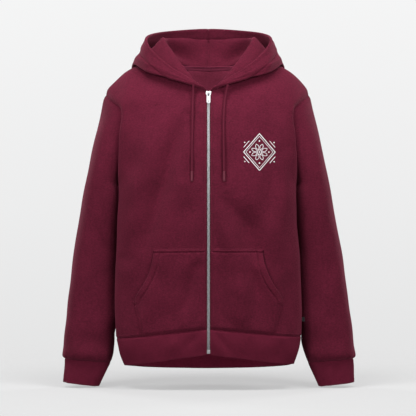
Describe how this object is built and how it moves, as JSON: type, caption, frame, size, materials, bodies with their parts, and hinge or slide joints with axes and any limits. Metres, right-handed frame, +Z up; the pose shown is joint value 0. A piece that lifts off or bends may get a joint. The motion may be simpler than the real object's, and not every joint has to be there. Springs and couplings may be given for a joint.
{
  "type": "zip up hoodie",
  "caption": "Filled-out zip up hoodie with lowered hood, drawcords, full front zip, split kangaroo pocket, ribbed cuffs and hem band; cloth walls, open at neck, cuffs and hem.",
  "frame": {"origin": "centre of the neck base, at the height of the back neck seam, where the wearer's shoulders hold the garment", "axes": "+Z up, -Y the way the front faces, +X the wearer's left"},
  "size_m": [0.6724, 0.2918, 0.8308],
  "materials": {
    "fleece": "matt brushed cotton sweatshirt fleece, burgundy",
    "rib": "matt fine rib knit, burgundy",
    "tape": "woven tape, burgundy",
    "cord": "braided round cord, burgundy",
    "cord_tip": "dipped and pressed cord end, slight gloss",
    "tag": "black woven loop tag, bare",
    "zip_metal": "silver nickel zip metal"
  },
  "bodies": {
    "garment": {"front_left": "fleece", "front_right": "fleece", "back": "fleece", "sleeve_left": "fleece", "sleeve_right": "fleece", "cuff_left": "rib", "cuff_right": "rib", "hem_band": "rib", "hood_left": "fleece", "hood_right": "fleece", "pocket_left": "fleece", "pocket_right": "fleece", "zip_tape_left": "tape", "zip_tape_right": "tape", "zip_chain": "zip_metal", "zip_slider": "zip_metal", "zip_box": "zip_metal", "neck_tape": "tape", "side_tag": "tag", "drawcord_left": "cord", "drawcord_right": "cord", "cord_tip_left": "cord_tip", "cord_tip_right": "cord_tip"},
    "pull_tab": {"zip_pull": "zip_metal"}
  },
  "joints": [
    {"name": "pull_tab_swing", "type": "hinge", "parent": "garment", "child": "pull_tab", "pos_m": [0, -0.1046, -0.065], "axis": [-1, 0, 0], "range_deg": [0, 165]}
  ]
}
